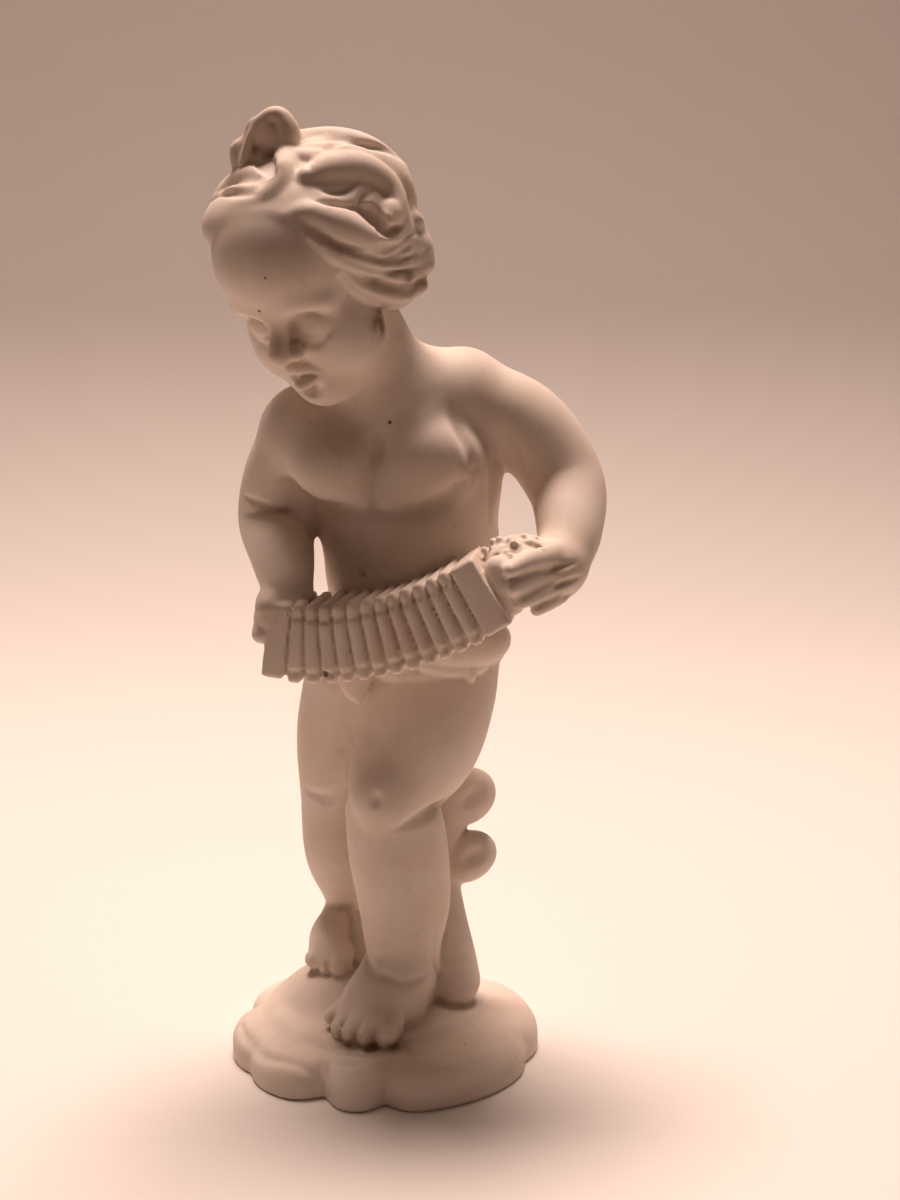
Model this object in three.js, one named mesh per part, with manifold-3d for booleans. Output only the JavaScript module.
// Parian cherub with a concertina, standing on a lobed base beside a leafy stump.
// Millimetres, +Z up. The origin is the centre of the underside, the figure looks along -Y.
// One slip-cast piece, so one closed body.
import * as THREE from 'three';
import Module from 'manifold-3d';

// Driving dimensions
const BASE_RADIUS = 33.4;
const RIM_TOP = 7.6;
const HEAD_PLACE = [-13.0, -13.2, 170.6];
const HEAD_SCALE = 0.88;
const HEAD_YAW = 30;
const HEAD_BOW = 27;
const HEAD_ROLL = 5;
const PLEATS = 12;
const PLEAT_DEPTH = 1.1;
const BELLOWS_TALL = 15.0;
const BELLOWS_DEEP = 17.0;
const END_BLOCK_RIGHT_HAND = 4.6;
const END_BLOCK_LEFT_HAND = 5.6;
const CELL = 1.0;
const FACES = 7600;
const SHORTEST_EDGE = 0.12;

// Vectors
const add = (a, b) => [a[0] + b[0], a[1] + b[1], a[2] + b[2]];
const sub = (a, b) => [a[0] - b[0], a[1] - b[1], a[2] - b[2]];
const scale = (a, s) => [a[0] * s, a[1] * s, a[2] * s];
const dot = (a, b) => a[0] * b[0] + a[1] * b[1] + a[2] * b[2];
const cross = (a, b) => [
  a[1] * b[2] - a[2] * b[1],
  a[2] * b[0] - a[0] * b[2],
  a[0] * b[1] - a[1] * b[0],
];
const unit = (a) => scale(a, 1 / Math.sqrt(dot(a, a)));
const rad = (degrees) => degrees * Math.PI / 180;

// Columns are the turned X, Y and Z directions, turned about X, then Y, then Z
function turned([rx, ry, rz]) {
  const m = new THREE.Matrix4().makeRotationFromEuler(new THREE.Euler(rad(rx), rad(ry), rad(rz), 'ZYX'));
  const e = m.elements;
  return [[e[0], e[1], e[2]], [e[4], e[5], e[6]], [e[8], e[9], e[10]]];
}

// A smooth line through points of any number of values
function flow(points, per = 5) {
  if (points.length < 3) return points;
  const mirror = (a, b) => a.map((v, i) => 2 * v - b[i]);
  const p = [mirror(points[0], points[1]), ...points, mirror(points.at(-1), points.at(-2))];
  const out = [];
  for (let i = 1; i < p.length - 2; i++) {
    for (let j = 0; j < per; j++) {
      const t = j / per;
      out.push(p[i].map((b, n) => {
        const [a, c, d] = [p[i - 1][n], p[i + 1][n], p[i + 2][n]];
        return 0.5 * (2 * b + (c - a) * t + (2 * a - 5 * b + 4 * c - d) * t * t + (3 * b - a - 3 * c + d) * t ** 3);
      }));
    }
  }
  out.push(points.at(-1));
  return out;
}

// Rounded forms, each with its reach and its distance from the skin
function egg(c, r, turn = [0, 0, 0], frame = null) {
  const own = turned(turn);
  const put = (v) => (frame ? add(add(scale(frame[0], v[0]), scale(frame[1], v[1])), scale(frame[2], v[2])) : v);
  const R = own.map(put);
  const reach = [0, 1, 2].map((i) => Math.hypot(R[0][i] * r[0], R[1][i] * r[1], R[2][i] * r[2]));
  const at = (x, y, z) => {
    const p = [x - c[0], y - c[1], z - c[2]];
    const q = R.map((axis, i) => dot(axis, p) / r[i]);
    const near = Math.hypot(...q);
    const slope = Math.hypot(q[0] / r[0], q[1] / r[1], q[2] / r[2]);
    return near * (near - 1) / Math.max(slope, 1e-6);
  };
  return { low: sub(c, reach), high: add(c, reach), at };
}

// A tapering rod along a smooth line; it can be squeezed along one direction
function limb(points, radii, per = 5, squeeze = null, thin = 1) {
  const line = flow(points.map((p, i) => [...p, radii[i]]), per);
  const w = squeeze ? unit(squeeze) : null;
  const extra = 1 / thin ** 2 - 1;
  const parts = line.slice(1).map((b, i) => {
    const a = line[i];
    const ab = sub(b, a);
    return { a, ab, length: Math.max(dot(ab, ab), 1e-9), grow: b[3] - a[3] };
  });
  const at = (x, y, z) => {
    let best = 1e9;
    for (const { a, ab, length, grow } of parts) {
      const px = x - a[0];
      const py = y - a[1];
      const pz = z - a[2];
      const t = Math.min(1, Math.max(0, (px * ab[0] + py * ab[1] + pz * ab[2]) / length));
      const qx = px - t * ab[0];
      const qy = py - t * ab[1];
      const qz = pz - t * ab[2];
      let s = qx * qx + qy * qy + qz * qz;
      if (w) s += (qx * w[0] + qy * w[1] + qz * w[2]) ** 2 * extra;
      best = Math.min(best, Math.sqrt(s) - a[3] - t * grow);
    }
    return best;
  };
  const low = [0, 1, 2].map((i) => Math.min(...line.map((p) => p[i] - p[3])));
  const high = [0, 1, 2].map((i) => Math.max(...line.map((p) => p[i] + p[3])));
  return { low, high, at };
}

// Clay: distances on a regular grid, to which forms are added or from which they are carved
const blend = (a, b, k) => {
  if (k <= 0) return Math.min(a, b);
  const h = Math.max(k - Math.abs(a - b), 0) / k;
  return Math.min(a, b) - h * h * k * 0.25;
};

class Clay {
  constructor(low, high, step) {
    this.low = low;
    this.high = high;
    this.step = step;
    this.n = [0, 1, 2].map((i) => Math.ceil((high[i] - low[i]) / step) + 1);
    this.field = new Float32Array(this.n[0] * this.n[1] * this.n[2]).fill(1000);
  }

  blank() {
    return new Clay(this.low, this.high, this.step);
  }

  over(form, margin, change) {
    const [nx, ny, nz] = this.n;
    const from = [0, 1, 2].map((i) => Math.max(0, Math.floor((form.low[i] - margin - this.low[i]) / this.step)));
    const to = [nx, ny, nz].map((n, i) =>
      Math.min(n - 1, Math.ceil((form.high[i] + margin - this.low[i]) / this.step)));
    for (let i = from[0]; i <= to[0]; i++) {
      const x = this.low[0] + i * this.step;
      for (let j = from[1]; j <= to[1]; j++) {
        const y = this.low[1] + j * this.step;
        for (let k = from[2]; k <= to[2]; k++) {
          const at = (i * ny + j) * nz + k;
          this.field[at] = change(this.field[at], form.at(x, y, this.low[2] + k * this.step));
        }
      }
    }
  }

  add(form, k = 0) {
    this.over(form, k + 3 * this.step + 1, (a, b) => blend(a, b, k));
  }

  carve(form, k = 0) {
    this.over(form, k + 3 * this.step + 1, (a, b) => -blend(-a, b, k));
  }

  join(other, k = 0) {
    for (let i = 0; i < this.field.length; i++) this.field[i] = blend(this.field[i], other.field[i], k);
  }
}

// Head frame: l to the figure's left, f forwards, u up, from the middle of the skull
const level = [Math.cos(rad(HEAD_YAW)), -Math.sin(rad(HEAD_YAW)), 0];
const FORE = [
  -Math.sin(rad(HEAD_YAW)) * Math.cos(rad(HEAD_BOW)),
  -Math.cos(rad(HEAD_YAW)) * Math.cos(rad(HEAD_BOW)),
  -Math.sin(rad(HEAD_BOW)),
];
const upright = cross(FORE, level);
const LEFT = add(scale(level, Math.cos(rad(HEAD_ROLL))), scale(upright, Math.sin(rad(HEAD_ROLL))));
const UP = sub(scale(upright, Math.cos(rad(HEAD_ROLL))), scale(level, Math.sin(rad(HEAD_ROLL))));
const HEAD_FRAME = [LEFT, scale(FORE, -1), UP];
const toward = ([l, f, u]) => add(add(scale(LEFT, l), scale(FORE, f)), scale(UP, u));
const onHead = (p) => add(HEAD_PLACE, scale(toward(p), HEAD_SCALE));
const headEgg = (c, r) => egg(onHead(c), scale(r, HEAD_SCALE), [0, 0, 0], HEAD_FRAME);
const headLimb = (points, radii, per = 5) => limb(points.map(onHead), radii.map((r) => r * HEAD_SCALE), per);

// A lock of hair that lies on the skull, flattened towards the skull's middle
function lock(points, radii, thin) {
  const middle = scale(points.reduce(add), 1 / points.length);
  return limb(points.map(onHead), radii.map((r) => r * HEAD_SCALE), 4, toward(sub(middle, [0, -1, 2])), thin);
}

// Trunk: hips, belly, chest, shoulders, breast, buttocks, shoulder blades and spine
function trunk(c) {
  c.add(egg([4.0, 5, 89], [18, 14.5, 14]), 0);
  c.add(egg([6.6, 1.5, 106], [18.6, 15, 17]), 6);
  c.add(egg([4.6, 1.5, 125], [20.4, 13.5, 19], [0, -3, 0]), 7);
  c.add(limb([[-15, -1, 136], [0, 2, 142], [16, 3, 143]], [9, 9.5, 9]), 7);
  c.add(egg([-8, -8, 129], [10, 6.5, 7.5]), 4);
  c.add(egg([10, -7.5, 130], [10.5, 6.5, 7.5]), 4);
  c.add(egg([-4, 13.5, 83], [10.5, 9.5, 11]), 4);
  c.add(egg([11, 12.5, 85], [11, 9.5, 11]), 4);
  c.add(egg([-8, 9.5, 131], [7.5, 6.5, 10], [0, -10, 0]), 4);
  c.add(egg([14, 10.5, 133], [7.5, 6.5, 10], [0, 10, 0]), 4);
  c.carve(limb([[3, 17.5, 140], [3.6, 17.0, 122], [4.4, 17.8, 104]], [1.6, 2.2, 1.6]), 4);
}

// Legs: the left one steps forward, the right one stands behind on the mound
function legs(c) {
  const left = c.blank();
  left.add(limb(
    [[10.5, 4, 86], [9.4, 0.5, 79], [7.4, -2.5, 70], [2.2, -6, 60], [3.0, -4, 47], [4.2, -1.5, 35], [3.9, -0.5, 25],
      [3.6, -1, 19]],
    [14.2, 14.2, 13.0, 10.0, 10.6, 10.0, 8.3, 7.2],
  ));
  left.add(limb([[3.8, -1, 18], [1.0, -6.5, 14.5], [-2.6, -11.4, 12.3]], [7.4, 6.7, 5.0], 5, [0, 0, 1], 0.9), 3);
  left.add(egg([0.8, -13.0, 60.5], [6.5, 4.5, 6.5]), 3);
  const leftToes = [
    [[-6.5, -5.5, 14], [-10.2, -9.6, 12.3], [2.3, 1.7]],
    [[-5.4, -8.5, 13.5], [-9.8, -13.8, 11.0], [2.3, 1.9]],
    [[-3.6, -9.5, 13.2], [-7.1, -16.1, 10.6], [2.4, 2.1]],
    [[-1.3, -10.5, 13], [-3.7, -17.2, 10.4], [2.5, 2.2]],
    [[2.0, -10.0, 12.8], [0.8, -17.0, 10.6], [3.3, 2.8]],
  ];
  for (const [root, tip, radii] of leftToes) left.add(limb([root, tip], radii), 0.6);
  const right = c.blank();
  right.add(limb(
    [[-4, 7, 82], [-7.6, 11, 68], [-9.6, 14, 53], [-9.2, 17, 40], [-9.4, 19.5, 31], [-9.6, 20.5, 26],
      [-10, 20.5, 23]],
    [13, 11.8, 9.4, 9.4, 6.2, 4.5, 4.4],
    6,
  ));
  right.add(limb([[-10.2, 20, 22], [-12, 14, 19.8], [-13.2, 9, 18.3]], [4.8, 5.6, 4.8]), 1.6);
  right.add(egg([-7.4, 14, 21], [3.4, 5, 4.5]), 2);
  const rightToes = [
    [[-14.8, 11, 19.5], [-16.8, 7.0, 17.4], [2.4, 2.1]],
    [[-13.0, 10, 19.5], [-14.2, 5.4, 17.2], [2.3, 2.0]],
    [[-10.4, 10, 19.5], [-10.8, 4.6, 17.3], [3.0, 2.8]],
  ];
  for (const [root, tip, radii] of rightToes) right.add(limb([root, tip], radii), 0.6);
  c.join(right, 3);
  c.join(left, 2.5);
}

// Arms: both hands hold the end blocks of the concertina
function arms(c) {
  const left = c.blank();
  left.add(limb(
    [[18, 3, 141], [30, 2.5, 135.5], [37.8, 0, 124.5], [38.4, -9, 116], [36.6, -16, 110.5]],
    [9.4, 9.0, 8.2, 6.7, 5.4],
    6,
  ));
  left.add(egg([35.0, -17, 108.5], [5.5, 6.5, 6.0]), 3);
  const fingers = [
    [[35.5, -17, 111.6], [29.6, -24.8, 111.4], [24.8, -29.6, 110.2]],
    [[36.2, -18.5, 109.4], [31.2, -25.6, 108.5], [26.8, -29.4, 106.9]],
    [[36.6, -18.5, 107], [32.4, -25.0, 106], [28.5, -28.4, 104.3]],
    [[36.4, -17.5, 104.8], [33.9, -23.5, 103.9], [31.0, -26.8, 102.6]],
  ];
  for (const line of fingers) left.add(limb(line, [2.4, 2.1, 1.8], 4), 0.7);
  left.add(egg([29, -19, 111.5], [6, 6.5, 5]), 1);
  const right = c.blank();
  right.add(limb(
    [[-17, -1, 134], [-21.5, 3, 125], [-23.4, 6, 116], [-20.6, -4, 110], [-18.8, -12, 104.5]],
    [8.0, 7.5, 7.2, 6.6, 5.2],
    6,
  ));
  right.add(egg([-18.8, -13, 101], [4.8, 6, 5.5]), 2);
  for (const [z, x, r] of [[102.6, -23.6, 2.2], [98.4, -24.4, 2.1], [94.6, -24.0, 2.0]]) {
    right.add(limb([[x + 2.5, -9, z + 0.5], [x, -14.5, z], [x + 0.3, -20.5, z]], [r, r, r * 0.85], 4), 0.7);
  }
  c.join(left, 3);
  c.join(right, 3);
}

// Drapery: two rolls of cloth that follow the hips, with a fall in front and one behind
function aroundHips(c, height, out) {
  const line = [];
  for (let n = 0; n < 17; n++) {
    const a = 2 * Math.PI * n / 16;
    const z = height(a);
    let r = 34;
    for (; r > 5; r -= 0.25) {
      const p = [4 + r * Math.cos(a), 5 + r * Math.sin(a), z];
      const [i, j, k] = p.map((v, axis) => Math.round((v - c.low[axis]) / c.step));
      if (c.field[(i * c.n[1] + j) * c.n[2] + k] < 0) break;
    }
    line.push([4 + (r + out) * Math.cos(a), 5 + (r + out) * Math.sin(a), z]);
  }
  line[16] = line[0];
  return line;
}

function drapery(c) {
  const d = c.blank();
  const upper = aroundHips(c, (a) => 91.6 + 1.4 * Math.cos(a), -0.6);
  const lower = aroundHips(c, (a) => 88.6 + Math.cos(2 * a + 0.6), -1.0);
  d.add(limb(upper, upper.map(() => 3.4), 3));
  d.add(limb(lower, lower.map(() => 2.8), 3), 0.8);
  d.add(limb([[-1, -7, 88], [-2.2, -7, 82.5], [-2.8, -6.4, 79.0]], [5.0, 3.6, 1.2], 4), 2);
  const fall = [[5, 18.5, 92], [3.5, 20, 84], [4.6, 18.5, 76], [3.6, 16.0, 70]];
  d.add(limb(fall, [4.5, 5.5, 4.5, 1.5], 4, [0, 1, 0], 0.6), 2);
  d.add(limb([[9, 19, 92], [10.5, 21, 85], [8.6, 20.5, 79]], [3.2, 3.2, 1.2], 4), 1);
  d.add(egg([7, 20.5, 92], [4.6, 3.6, 3.8]), 1.0);
  c.join(d, 0.8);
}

// Head: skull, brow, cheeks, chin, nose, lips, closed eyes and neck
function head(c) {
  const h = c.blank();
  h.add(headEgg([0, -1.0, 4], [18.8, 22.0, 19.0]));
  h.add(headEgg([0, 8.5, 4.5], [15, 14.5, 13]), 5);
  h.add(headEgg([0.6, 6.6, -11.6], [14.2, 11.6, 17.6]), 6);
  for (const side of [-1, 1]) h.add(headEgg([8.0 * side + 0.5, 8.8, -16], [7.2, 7.2, 8.2]), 5);
  h.add(headEgg([0.6, 13.0, -27], [5.2, 4.5, 4.2]), 4);
  h.add(headLimb([[0, 19.6, -5], [0, 21.8, -12.8]], [1.5, 2.3]), 2.5);
  h.add(headLimb([[-3.2, 17.2, -19.2], [0, 18.4, -18.8], [3.2, 17.2, -19.2]], [0.8, 1.3, 0.8]), 1.6);
  h.add(headLimb([[-2.6, 16.5, -21.8], [0, 17.3, -22.0], [2.6, 16.5, -21.8]], [0.9, 1.4, 0.9]), 1.6);
  for (const side of [-1, 1]) {
    h.add(headEgg([7.0 * side, 15.0, -8.6], [4.2, 3.0, 3.2]), 2);
    const socket = [[3.0 * side, 20.2, -8.2], [6.5 * side, 20.0, -6.2], [11 * side, 17.0, -6.8]];
    h.carve(headLimb(socket, [1.4, 1.8, 1.2]), 3);
  }
  c.add(limb([[1.5, 0, 141], [-1.0, -3, 149], [-4.5, -8, 157]], [11, 9.4, 8.8]), 5);
  c.join(h, 3);
}

// Hair: a cap under curved locks; each row is a lock's line in the head frame, then its half widths
const BROW_LOCKS = [
    [[[3.5, 0, 23.4], [5.8, 5.5, 22.2], [6.0, 9.5, 20.4], [3.5, 13.5, 18.4], [-1.5, 15.5, 17.2],
      [-7, 15.5, 15.6], [-12.5, 13.0, 13]],
      [2.8, 2.8, 2.5, 2.4, 2.2, 2.0, 1.4]],
    [[[0.5, 5, 22.4], [-4.3, 6.5, 21.8], [-8.6, 6.5, 20.4], [-12, 7, 18.2], [-14.5, 8.5, 14.5]],
      [1.8, 2.4, 2.4, 2.2, 1.5]],
    [[[2.0, 10.5, 20], [-2.5, 11.5, 19.6], [-7.8, 11.5, 18.4], [-12.5, 11, 15.4]], [1.8, 2.2, 2.2, 1.4]],
    [[[-8.5, -1.0, 22.6], [-12, 1.0, 20.6], [-15, 4.5, 18.6], [-16.6, 6.6, 16], [-16.6, 8.2, 12.5]],
      [2.4, 2.6, 2.9, 2.8, 2.0]],
    [[[-9.5, -6, 22.6], [-14, -5, 18.6], [-17.5, -3, 13.5], [-18.5, 0, 8]], [2.4, 3.0, 3.0, 2.4]],
];
const SIDE_LOCKS = [
    [[[6.3, -0.8, 22.6], [10.6, -4.4, 21.6], [14.2, -7.8, 19.2], [18.0, -9.8, 15], [21.0, -9.8, 10.4],
      [22.8, -8.0, 6.4], [23.4, -4.2, 4.2], [22.8, -0.5, 4.6]],
      [2.6, 3.0, 3.2, 3.4, 3.4, 3.0, 2.4, 1.6]],
    [[[10.6, 6.6, 20], [12.6, 2.4, 20.4], [15.2, -1.8, 19.6], [17.8, -5.0, 17.2]], [1.8, 1.9, 1.9, 1.6]],
    [[[11.6, 9.2, 18], [14.9, 6.4, 17.6], [17.8, 2.7, 16.6], [19.6, -1.4, 15.2]], [1.6, 1.9, 1.9, 1.6]],
    [[[8.4, 11.6, 18.1], [14.4, 10.2, 15.8], [19.0, 6.0, 13.6], [21.4, 3.2, 12.2], [22.2, -1.0, 12.0],
      [22.4, -4.4, 10]],
      [1.6, 2.0, 2.0, 2.2, 2.8, 2.4]],
    [[[7.9, 13.9, 16.9], [13.4, 12.8, 14.9], [17.6, 10.2, 12.8], [20.2, 7.2, 11.2], [21.8, 5.6, 8.4],
      [21.6, 6.2, 5.6]],
      [1.8, 2.1, 2.2, 2.6, 2.8, 2.2]],
    [[[9.4, 15.6, 14.6], [13.2, 15.0, 12.0], [16.6, 13.4, 9.2], [19.2, 11.0, 5.8], [21.2, 7.6, 3.2]],
      [1.4, 1.9, 2.2, 2.4, 2.2]],
    [[[20.9, 7.0, 4.6], [22.0, 4.8, 1.4], [22.8, -0.5, -0.8], [22.6, -5.2, -1.8], [23.2, -8.6, -4.6],
      [23.2, -8.0, -8.4]],
      [2.0, 2.6, 3.0, 3.2, 3.4, 2.6]],
    [[[16.4, 13.0, 4], [18.8, 9.8, 0.6], [19.8, 5.0, -3.8], [20.8, -0.6, -6.8], [22.0, -4.4, -8.2]],
      [1.2, 2.0, 2.8, 3.2, 2.8]],
    [[[17.6, 10.6, -1], [18.0, 7.6, -5.4], [19.0, 2.6, -10.4], [21.0, -2.4, -12.6], [22.4, -5.6, -11.6]],
      [1.0, 1.9, 2.8, 3.2, 2.8]],
    [[[2.5, -10, 23], [6.2, -12.6, 22], [10.7, -14.6, 20], [13.4, -15.2, 17.2]], [2.6, 3.0, 3.0, 2.2]],
    [[[12.5, -14.5, 16.5], [16.7, -15.2, 13.4], [19.6, -15.2, 9.4], [20.6, -14.2, 5.2]],
      [2.4, 3.0, 3.2, 2.6]],
    [[[20.2, -12.0, 5.0], [21.2, -13.0, 1.4], [21.4, -12.0, -2.2]], [2.0, 2.8, 2.2]],
    [[[19.6, -13.6, -1], [22.0, -11.8, -5.0], [22.6, -9.8, -9]], [2.4, 3.2, 2.8]],
];

function hair(c) {
  const h = c.blank();
  h.add(headEgg([1.0, -3.0, 5.0], [20.8, 20.8, 17.6]));
  h.add(headEgg([-2, 7, 12.5], [16.5, 11, 8.4]), 4);
  h.add(headEgg([19, -3, -7], [5.2, 8.5, 8]), 3);
  h.add(headEgg([-18, -3, -5], [5.0, 8.5, 8]), 3);
  h.add(headEgg([0, -17, -9], [13, 6, 8]), 3);
  const topknot = [[-6, 5, 21.5], [-7, 1, 24.5], [-5, -3, 28], [-1.5, -4.5, 29.3], [1.8, -4.5, 27], [3.0, -2.0, 23.5]];
  h.add(headLimb(topknot, [2.0, 2.1, 2.4, 2.9, 3.3, 3.4]), 0.8);
  h.add(headLimb([[-4.5, 5, 22], [-4.2, 1.5, 24.5], [-1.8, 0, 25.4]], [2.0, 2.0, 1.4]), 0.8);
  h.add(headEgg([-2.6, -1.5, 24.5], [3.4, 2.2, 3.6]), 0.8);
  h.add(headEgg([18.0, 8.6, 7.6], [4.2, 3.6, 4.2]), 0.8);
  for (const [line, wide] of [...BROW_LOCKS, ...SIDE_LOCKS]) h.add(lock(line, wide, 0.8), 0.5);
  for (let n = 0; n < 8; n++) {
    const low = -9 - 3 * Math.sin(rad(22.5 * n)) + (n % 2 ? 2 : 0);
    const on = (r, u, sway) => {
      const a = rad(98 + 25 * n + 10 * sway);
      return [r * Math.sin(a), r * Math.cos(a) - 3, u];
    };
    const line = [on(6, 22, -2), on(14, 18, -0.5), on(19.5, 10, 0.8), on(20.8, 1, 0.2), on(20, -6, -0.8), on(20.6, low, 0.3)];
    h.add(lock(line, [2.0, 3.0, 3.6, 3.8, 3.6, 2.4], 0.8), 0.5);
  }
  c.join(h, 0.6);
}

// Base: a cushion whose rim is notched into lobes, with the mound on it
const NOTCHES = [
  [245.5, 5.0, 7], [271.6, 4.0, 6], [342.7, 3.0, 8], [48, 2.5, 8], [84, 3, 8], [120, 2.5, 8], [168, 3, 8],
  [208, 1.6, 7],
];

function cushion() {
  const round = 4.2;
  const below = 3.2;
  const rim = (degrees) => NOTCHES.reduce((r, [at, deep, wide]) => {
    const apart = ((degrees - at + 540) % 360) - 180;
    return r - deep * Math.exp(-(Math.abs(apart / wide) ** 1.5));
  }, BASE_RADIUS);
  const at = (x, y, z) => {
    const degrees = (Math.atan2(y, x) * 180 / Math.PI + 360) % 360;
    const q = Math.hypot(x, y) - rim(degrees) + round;
    const h = Math.abs(z - (RIM_TOP - below) / 2) - ((RIM_TOP + below) / 2 - round);
    return (Math.hypot(Math.max(q, 0), Math.max(h, 0)) + Math.min(Math.max(q, h), 0) - round) * 0.9;
  };
  return { low: [-BASE_RADIUS, -BASE_RADIUS, -below], high: [BASE_RADIUS, BASE_RADIUS, RIM_TOP], at };
}

function base(c) {
  const b = c.blank();
  b.add(cushion());
  b.add(egg([0.5, 3, 3.5], [24, 21, 7]), 1.5);
  b.add(egg([-8, 9, 7], [16, 14, 9]), 3);
  c.join(b, 1.2);
}

// Stump behind the left leg with two thick leaves
function stump(c) {
  c.add(limb([[17, 3, 7], [16, 7, 15], [13.2, 11, 26], [12.5, 12, 38], [14, 13, 52]], [5.6, 5.6, 4.8, 4.6, 5.4]), 1.2);
  c.add(limb([[13, 13, 44], [17.8, 13, 50.5], [21.0, 13, 54.5]], [4, 4.8, 4.6], 4, [0, 1, 0], 0.7), 2);
  c.add(limb([[13, 12, 33], [18.0, 12, 36.8], [21.4, 12, 39.6]], [3.8, 4.6, 4.4], 4, [0, 1, 0], 0.7), 2);
}

// Skin of the clay: one point in every cell that the surface crosses
function wellComposed(inside, [nx, ny, nz]) {
  const at = (i, j, k) => (i * ny + j) * nz + k;
  const step = [ny * nz, nz, 1];
  for (let round = 0; round < 20; round++) {
    let changed = 0;
    for (let i = 0; i < nx - 1; i++) {
      for (let j = 0; j < ny - 1; j++) {
        for (let k = 0; k < nz - 1; k++) {
          const o = at(i, j, k);
          let total = 0;
          for (let n = 0; n < 8; n++) total += inside[o + (n & 4 ? step[0] : 0) + (n & 2 ? step[1] : 0) + (n & 1)];
          if (total === 0 || total === 8) continue;
          for (const [u, v] of [[step[0], step[1]], [step[0], step[2]], [step[1], step[2]]]) {
            const [p, q, r, s] = [inside[o], inside[o + v], inside[o + u], inside[o + u + v]];
            if (p && s && !q && !r) {
              inside[o + v] = 1;
              changed++;
            } else if (q && r && !p && !s) {
              inside[o] = 1;
              changed++;
            }
          }
          const corner = (n) => o + (n & 4 ? step[0] : 0) + (n & 2 ? step[1] : 0) + (n & 1);
          for (let n = 0; n < 4; n++) {
            const [a, b] = [inside[corner(n)], inside[corner(7 - n)]];
            if (total === 2 && a && b) {
              inside[corner(n ^ 1)] = 1;
              inside[corner(n ^ 3)] = 1;
              changed++;
            } else if (total === 6 && !a && !b) {
              inside[corner(n)] = 1;
              changed++;
            }
          }
        }
      }
    }
    if (!changed) break;
  }
}

function skin(clay) {
  const [nx, ny, nz] = clay.n;
  const step = [ny * nz, nz, 1];
  const f = clay.field;
  const inside = Uint8Array.from(f, (v) => (v < 0 ? 1 : 0));
  wellComposed(inside, clay.n);
  for (let i = 0; i < f.length; i++) if (inside[i] && f[i] >= 0) f[i] = -1e-3;
  const id = new Int32Array(f.length).fill(-1);
  const points = [];
  const corner = (n) => (n & 4 ? step[0] : 0) + (n & 2 ? step[1] : 0) + (n & 1);
  for (let i = 0; i < nx - 1; i++) {
    for (let j = 0; j < ny - 1; j++) {
      for (let k = 0; k < nz - 1; k++) {
        const o = (i * ny + j) * nz + k;
        let total = 0;
        for (let n = 0; n < 8; n++) total += inside[o + corner(n)];
        if (total === 0 || total === 8) continue;
        const sum = [0, 0, 0];
        let seen = 0;
        for (let n = 0; n < 8; n++) {
          for (const bit of [4, 2, 1]) {
            if (n & bit) continue;
            const va = f[o + corner(n)];
            const vb = f[o + corner(n | bit)];
            if ((va < 0) === (vb < 0)) continue;
            const t = va / (va - vb);
            sum[0] += (n & 4 ? 1 : 0) + (bit === 4 ? t : 0);
            sum[1] += (n & 2 ? 1 : 0) + (bit === 2 ? t : 0);
            sum[2] += (n & 1 ? 1 : 0) + (bit === 1 ? t : 0);
            seen++;
          }
        }
        id[o] = points.length;
        points.push([i, j, k].map((c, a) => clay.low[a] + clay.step * (c + sum[a] / seen)));
      }
    }
  }
  const faces = [];
  for (let i = 1; i < nx - 1; i++) {
    for (let j = 1; j < ny - 1; j++) {
      for (let k = 1; k < nz - 1; k++) {
        const o = (i * ny + j) * nz + k;
        for (let axis = 0; axis < 3; axis++) {
          if (inside[o] === inside[o + step[axis]]) continue;
          const u = step[(axis + 1) % 3];
          const v = step[(axis + 2) % 3];
          const q = [id[o - u - v], id[o - v], id[o], id[o - u]];
          if (!inside[o]) q.reverse();
          faces.push([q[0], q[1], q[2]], [q[0], q[2], q[3]]);
        }
      }
    }
  }
  return { points, faces };
}

// Fewer faces: edges are closed up in the order in which that moves the surface least
class Heap {
  constructor() {
    this.items = [];
  }

  push(item) {
    const a = this.items;
    let i = a.push(item) - 1;
    while (i > 0) {
      const up = (i - 1) >> 1;
      if (a[up].cost <= a[i].cost) break;
      [a[up], a[i]] = [a[i], a[up]];
      i = up;
    }
  }

  pop() {
    const a = this.items;
    const top = a[0];
    const last = a.pop();
    if (a.length) {
      a[0] = last;
      let i = 0;
      for (;;) {
        let least = i;
        for (const n of [2 * i + 1, 2 * i + 2]) if (n < a.length && a[n].cost < a[least].cost) least = n;
        if (least === i) break;
        [a[least], a[i]] = [a[i], a[least]];
        i = least;
      }
    }
    return top;
  }
}

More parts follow.
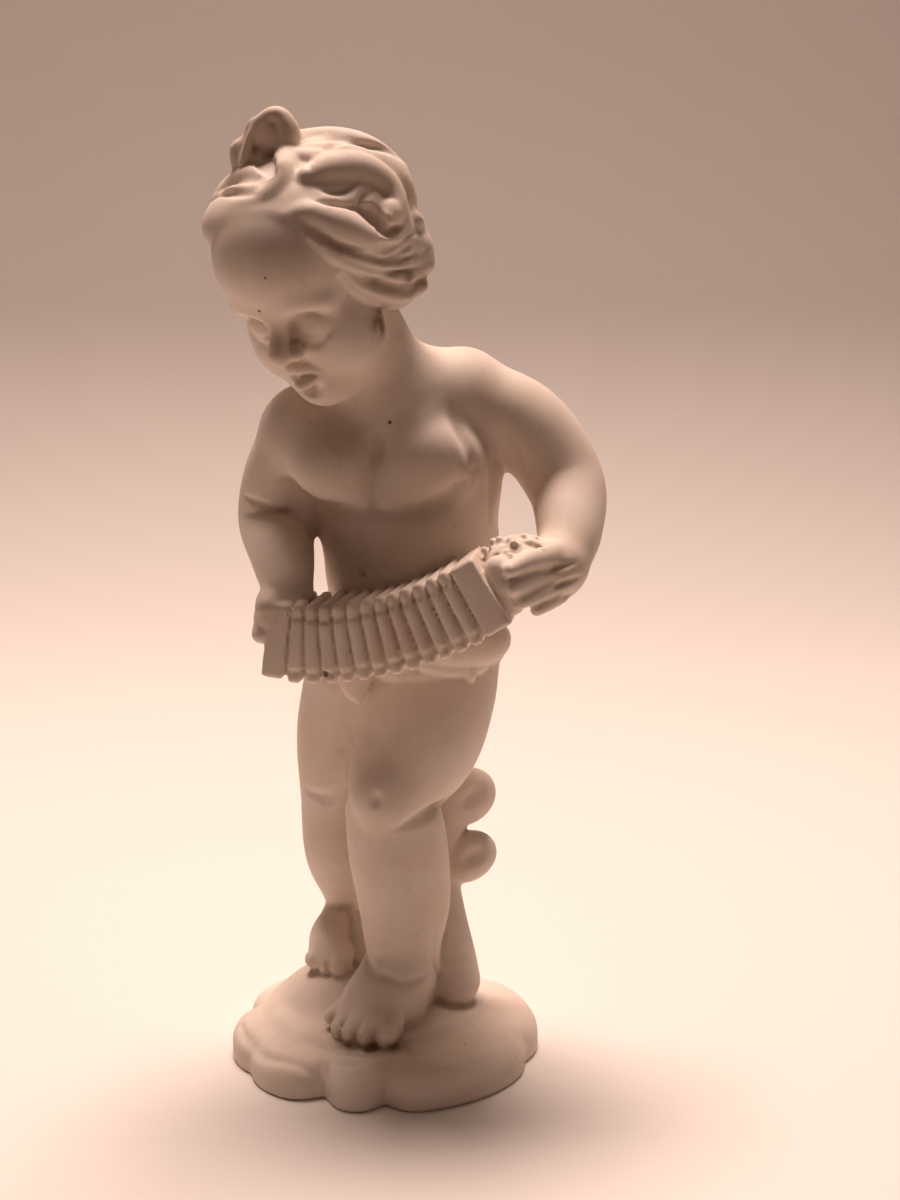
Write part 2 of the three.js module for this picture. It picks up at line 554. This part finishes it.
class Fold {
  constructor({ points, faces }) {
    this.points = points;
    this.faces = faces;
    this.alive = faces.length;
    this.around = points.map(() => new Set());
    faces.forEach((face, n) => face.forEach((v) => this.around[v].add(n)));
  }

  neighbours(v) {
    const out = new Set();
    for (const n of this.around[v]) for (const w of this.faces[n]) if (w !== v) out.add(w);
    return out;
  }

  // Whether edge a-b can close at the place without a fold or a pinch
  sound(a, b, place) {
    const shared = [...this.neighbours(a)].filter((v) => this.neighbours(b).has(v));
    if (shared.length !== 2) return false;
    for (const v of [a, b]) {
      for (const n of this.around[v]) {
        const face = this.faces[n];
        if (face.includes(a) && face.includes(b)) continue;
        const p = face.map((w) => this.points[w]);
        const q = face.map((w) => (w === v ? place : this.points[w]));
        const before = cross(sub(p[1], p[0]), sub(p[2], p[0]));
        const after = cross(sub(q[1], q[0]), sub(q[2], q[0]));
        const size = Math.sqrt(dot(after, after));
        const longest = Math.max(...[0, 1, 2].map((i) => dot(sub(q[i], q[(i + 1) % 3]), sub(q[i], q[(i + 1) % 3]))));
        if (size < 0.08 * longest) return false;
        if (dot(before, after) < 0.3 * size * Math.sqrt(dot(before, before))) return false;
      }
    }
    return true;
  }

  close(a, b, place) {
    this.points[a] = place;
    for (const n of [...this.around[b]]) {
      const face = this.faces[n];
      if (face.includes(a)) {
        for (const v of face) this.around[v].delete(n);
        this.faces[n] = null;
        this.alive--;
      } else {
        face[face.indexOf(b)] = a;
        this.around[a].add(n);
      }
    }
    this.around[b].clear();
  }

  result() {
    const number = new Map();
    const points = [];
    const faces = this.faces.filter(Boolean).map((face) => face.map((v) => {
      if (!number.has(v)) {
        number.set(v, points.length);
        points.push(this.points[v]);
      }
      return number.get(v);
    }));
    return { points, faces };
  }
}

function fewer(mesh, count) {
  const fold = new Fold(mesh);
  const { points, faces } = fold;
  const quadric = points.map(() => new Float64Array(10));
  for (const face of faces) {
    const [a, b, c] = face.map((v) => points[v]);
    const whole = cross(sub(b, a), sub(c, a));
    const area = Math.sqrt(dot(whole, whole));
    if (area < 1e-12) continue;
    const n = scale(whole, 1 / area);
    const d = -dot(n, a);
    const v = [...n, d];
    let m = 0;
    for (let i = 0; i < 4; i++) {
      for (let j = i; j < 4; j++) {
        for (const w of face) quadric[w][m] += area * v[i] * v[j];
        m++;
      }
    }
  }
  const cost = (q, [x, y, z]) => q[0] * x * x + 2 * q[1] * x * y + 2 * q[2] * x * z + 2 * q[3] * x
    + q[4] * y * y + 2 * q[5] * y * z + 2 * q[6] * y + q[7] * z * z + 2 * q[8] * z + q[9];
  const stamp = new Int32Array(points.length);
  const heap = new Heap();
  const offer = (a, b) => {
    const q = quadric[a].map((v, i) => v + quadric[b][i]);
    const middle = scale(add(points[a], points[b]), 0.5);
    const m = new THREE.Matrix3().set(q[0], q[1], q[2], q[1], q[4], q[5], q[2], q[5], q[7]);
    const places = [middle, points[a], points[b]];
    if (Math.abs(m.determinant()) > 1e-4) {
      const best = new THREE.Vector3(-q[3], -q[6], -q[8]).applyMatrix3(m.invert());
      const place = [best.x, best.y, best.z];
      const span = Math.hypot(...sub(points[a], points[b]));
      if (Math.hypot(...sub(place, middle)) < 2 * span) places.push(place);
    }
    let choice = null;
    for (const place of places) {
      const c = cost(q, place);
      if (!choice || c < choice.cost) choice = { cost: c, place };
    }
    const span = dot(sub(points[a], points[b]), sub(points[a], points[b]));
    heap.push({ cost: choice.cost + 2e-4 * span, place: choice.place, a, b, seal: stamp[a] + stamp[b] });
  };
  points.forEach((_, v) => {
    for (const w of fold.neighbours(v)) if (v < w) offer(v, w);
  });
  while (fold.alive > count && heap.items.length) {
    const { a, b, place, seal } = heap.pop();
    if (!fold.around[a].size || !fold.around[b].size || seal !== stamp[a] + stamp[b]) continue;
    if (!fold.sound(a, b, place)) continue;
    fold.close(a, b, place);
    quadric[a] = quadric[a].map((v, i) => v + quadric[b][i]);
    stamp[a]++;
    for (const w of fold.neighbours(a)) {
      stamp[w]++;
    }
    for (const w of fold.neighbours(a)) {
      for (const x of fold.neighbours(w)) offer(w, x);
    }
  }
  return fold.result();
}

// The shortest edges that a cut or a join leaves are closed up; the underside keeps its points
function withoutSlivers(mesh, shortest) {
  const fold = new Fold(mesh);
  for (let round = 0; round < 6; round++) {
    let closed = 0;
    for (let v = 0; v < fold.points.length; v++) {
      for (const w of fold.around[v].size ? fold.neighbours(v) : []) {
        const [p, q] = [fold.points[v], fold.points[w]];
        if (Math.hypot(...sub(p, q)) > shortest) continue;
        if (q[2] < 1e-6 && p[2] > 1e-6) continue;
        const shared = [...fold.neighbours(v)].filter((x) => fold.neighbours(w).has(x));
        if (shared.length !== 2) continue;
        fold.close(v, w, p);
        closed++;
        break;
      }
    }
    if (!closed) break;
  }
  return fold.result();
}

// Concertina: a pleated bellows swept along a curved line, its front face on the line
const FRONT = [
  [-22.6, -22.2, 95.6], [-15.5, -23.0, 94.8], [-7.0, -24.4, 95.4], [3.0, -26.4, 97.6], [12.0, -28.2, 101.2],
  [18.6, -29.3, 104.7], [23.4, -30.0, 107.6],
];

function bellows() {
  const line = flow(FRONT, 12);
  const along = [0];
  line.slice(1).forEach((p, i) => along.push(along[i] + Math.hypot(...sub(p, line[i]))));
  const total = along.at(-1);
  const pitch = (total - END_BLOCK_RIGHT_HAND - END_BLOCK_LEFT_HAND) / PLEATS;
  const place = (s) => {
    let i = 0;
    while (i < line.length - 2 && along[i + 1] < s) i++;
    const t = (s - along[i]) / (along[i + 1] - along[i]);
    return add(line[i], scale(sub(line[i + 1], line[i]), t));
  };
  const stations = [[0, 0.9], [0.9, 0], [END_BLOCK_RIGHT_HAND - 0.5, 0]];
  for (let n = 0; n < PLEATS; n++) {
    const s = END_BLOCK_RIGHT_HAND + n * pitch;
    stations.push([s, PLEAT_DEPTH], [s + 0.24 * pitch, -0.1], [s + 0.5 * pitch, -0.4], [s + 0.76 * pitch, -0.1]);
  }
  stations.push([total - END_BLOCK_LEFT_HAND, PLEAT_DEPTH], [total - END_BLOCK_LEFT_HAND + 0.5, 0]);
  stations.push([total - 0.9, 0], [total, 0.9]);
  const bend = 1.5;
  const ring = 12;
  const points = [];
  for (const [s, inset] of stations) {
    const ahead = unit(sub(place(Math.min(total, s + 1.5)), place(Math.max(0, s - 1.5))));
    const back = unit(cross([0, 0, 1], ahead));
    const up = cross(ahead, back);
    const middle = add(place(s), scale(back, BELLOWS_DEEP / 2));
    const [b, u] = [BELLOWS_DEEP / 2 - inset - bend, BELLOWS_TALL / 2 - inset - bend];
    for (let n = 0; n < ring; n++) {
      const quarter = Math.floor(n / 3);
      const angle = rad(quarter * 90 + (n % 3) * 45);
      const [sb, su] = [[1, 1], [-1, 1], [-1, -1], [1, -1]][quarter];
      const turn = [sb * b + bend * Math.cos(angle), su * u + bend * Math.sin(angle)];
      points.push(add(middle, add(scale(back, turn[0]), scale(up, turn[1]))));
    }
  }
  const faces = [];
  for (let m = 0; m < stations.length - 1; m++) {
    for (let n = 0; n < ring; n++) {
      const [a, b] = [m * ring + n, m * ring + (n + 1) % ring];
      faces.push([a, b, b + ring], [a, b + ring, a + ring]);
    }
  }
  for (const [first, flip] of [[0, true], [(stations.length - 1) * ring, false]]) {
    for (let n = 1; n < ring - 1; n++) {
      const face = [first, first + n, first + n + 1];
      faces.push(flip ? face.reverse() : face);
    }
  }
  return { points, faces };
}

// Joining and cutting
const wasm = await Module();
wasm.setup();

function solid({ points, faces }) {
  const mesh = new wasm.Mesh({
    numProp: 3,
    vertProperties: new Float32Array(points.flat()),
    triVerts: new Uint32Array(faces.flat()),
  });
  return new wasm.Manifold(mesh);
}

function listed(body) {
  const mesh = body.getMesh();
  const points = [];
  for (let i = 0; i < mesh.numVert; i++) points.push(Array.from(mesh.vertProperties.slice(3 * i, 3 * i + 3)));
  const faces = [];
  for (let i = 0; i < mesh.numTri; i++) faces.push(Array.from(mesh.triVerts.slice(3 * i, 3 * i + 3)));
  return { points, faces };
}

function block(low, high) {
  const points = [];
  for (const x of [low[0], high[0]]) for (const y of [low[1], high[1]]) for (const z of [low[2], high[2]]) points.push([x, y, z]);
  const faces = [
    [0, 1, 3], [0, 3, 2], [4, 6, 7], [4, 7, 5], [0, 4, 5], [0, 5, 1], [2, 3, 7], [2, 7, 6], [0, 2, 6], [0, 6, 4],
    [1, 5, 7], [1, 7, 3],
  ];
  return { points, faces };
}

// The outer skin alone: a hollow closed in by the clay and the bellows is filled
function filled({ points, faces }) {
  const shell = points.map((_, i) => i);
  const root = (v) => {
    let r = v;
    while (shell[r] !== r) r = shell[r];
    while (shell[v] !== r) [v, shell[v]] = [shell[v], r];
    return r;
  };
  for (const [a, b, c] of faces) {
    shell[root(b)] = root(a);
    shell[root(c)] = root(a);
  }
  const volume = new Map();
  for (const face of faces) {
    const [a, b, c] = face.map((v) => points[v]);
    const r = root(face[0]);
    volume.set(r, (volume.get(r) ?? 0) + dot(a, cross(b, c)) / 6);
  }
  const [outer] = [...volume].sort((a, b) => b[1] - a[1])[0];
  return new Fold({ points, faces: faces.filter((face) => root(face[0]) === outer) }).result();
}

const clay = new Clay([-42, -40, -5], [52, 42, 205], CELL);
trunk(clay);
legs(clay);
drapery(clay);
arms(clay);
clay.add(egg([3, -9, 97], [15, 10, 6]), 2);
head(clay);
hair(clay);
base(clay);
stump(clay);

const modelled = solid(fewer(skin(clay), FACES)).add(solid(bellows()));
const floor = solid(block([-60, -60, -30], [60, 60, 0]));
const finished = withoutSlivers(filled(listed(modelled.subtract(floor))), SHORTEST_EDGE);

// Geometry
const geometry = new THREE.BufferGeometry();
geometry.setAttribute('position', new THREE.Float32BufferAttribute(finished.points.flat(), 3));
geometry.setIndex(finished.faces.flat());
geometry.computeVertexNormals();

const bisque = new THREE.MeshStandardMaterial({ color: 0xd9cfc4, roughness: 0.75, metalness: 0 });
const figure = new THREE.Mesh(geometry, bisque);
figure.name = 'cherub_figurine';

const group = new THREE.Group();
group.name = 'cherub_with_concertina';
group.add(figure);

export default group;
